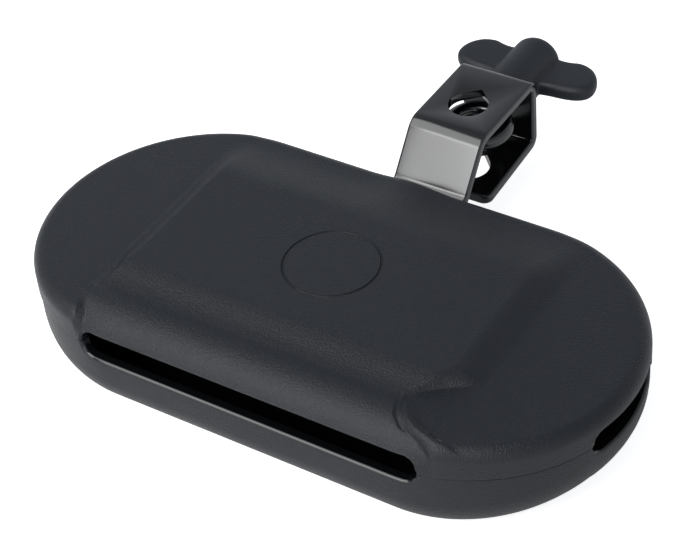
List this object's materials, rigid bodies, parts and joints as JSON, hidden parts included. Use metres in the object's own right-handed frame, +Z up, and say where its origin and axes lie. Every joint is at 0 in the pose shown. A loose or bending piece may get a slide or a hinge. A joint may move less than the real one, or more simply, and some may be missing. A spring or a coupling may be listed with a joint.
{
  "type": "percussion block",
  "caption": "Hollow two-shell percussion block struck with a stick, with slots at its front and ends and a strap clamp with an eye bolt and wing nut behind it.",
  "frame": {"origin": "centre of the block's flat underside", "axes": "+X to the player's right along the long axis, +Y back to the clamp, +Z up out of the struck face"},
  "size_m": [0.19, 0.1777, 0.0398],
  "materials": {
    "shell_plastic": "fine grained matte",
    "black_lacquer": "gloss black lacquer on bent steel bar",
    "zinc": "bright zinc plate",
    "brass": "turned brass",
    "wing_plastic": "moulded matte"
  },
  "bodies": {
    "block": {"upper_shell": "shell_plastic", "lower_shell": "shell_plastic", "bracket": "black_lacquer", "wing_washer": "zinc", "shell_screw_1": "zinc", "shell_screw_2": "zinc", "shell_screw_3": "zinc", "shell_screw_4": "zinc", "shell_screw_5": "zinc", "shell_screw_6": "zinc", "bracket_bolt_1": "zinc", "bracket_bolt_2": "zinc", "bracket_washer_1": "zinc", "bracket_washer_2": "zinc", "bracket_nut_1": "zinc", "bracket_nut_2": "zinc"},
    "eye_bolt": {"eye_bolt": "black_lacquer"},
    "wing_nut": {"wing_nut": "wing_plastic", "wing_nut_insert": "brass"}
  },
  "joints": [
    {"name": "wing_nut_spin", "type": "hinge", "parent": "block", "child": "wing_nut", "pos_m": [0, 0.1038, 0.0281], "axis": [0, -1, 0], "range_deg": [-1800, 360]},
    {"name": "eye_bolt_draw", "type": "slide", "parent": "block", "child": "eye_bolt", "axis": [0, 1, 0], "range_m": [-0.005, 0.001]}
  ],
  "couplings": [
    {"joint": "eye_bolt_draw", "follows": "wing_nut_spin", "m_per_rad": 0.00015915}
  ]
}
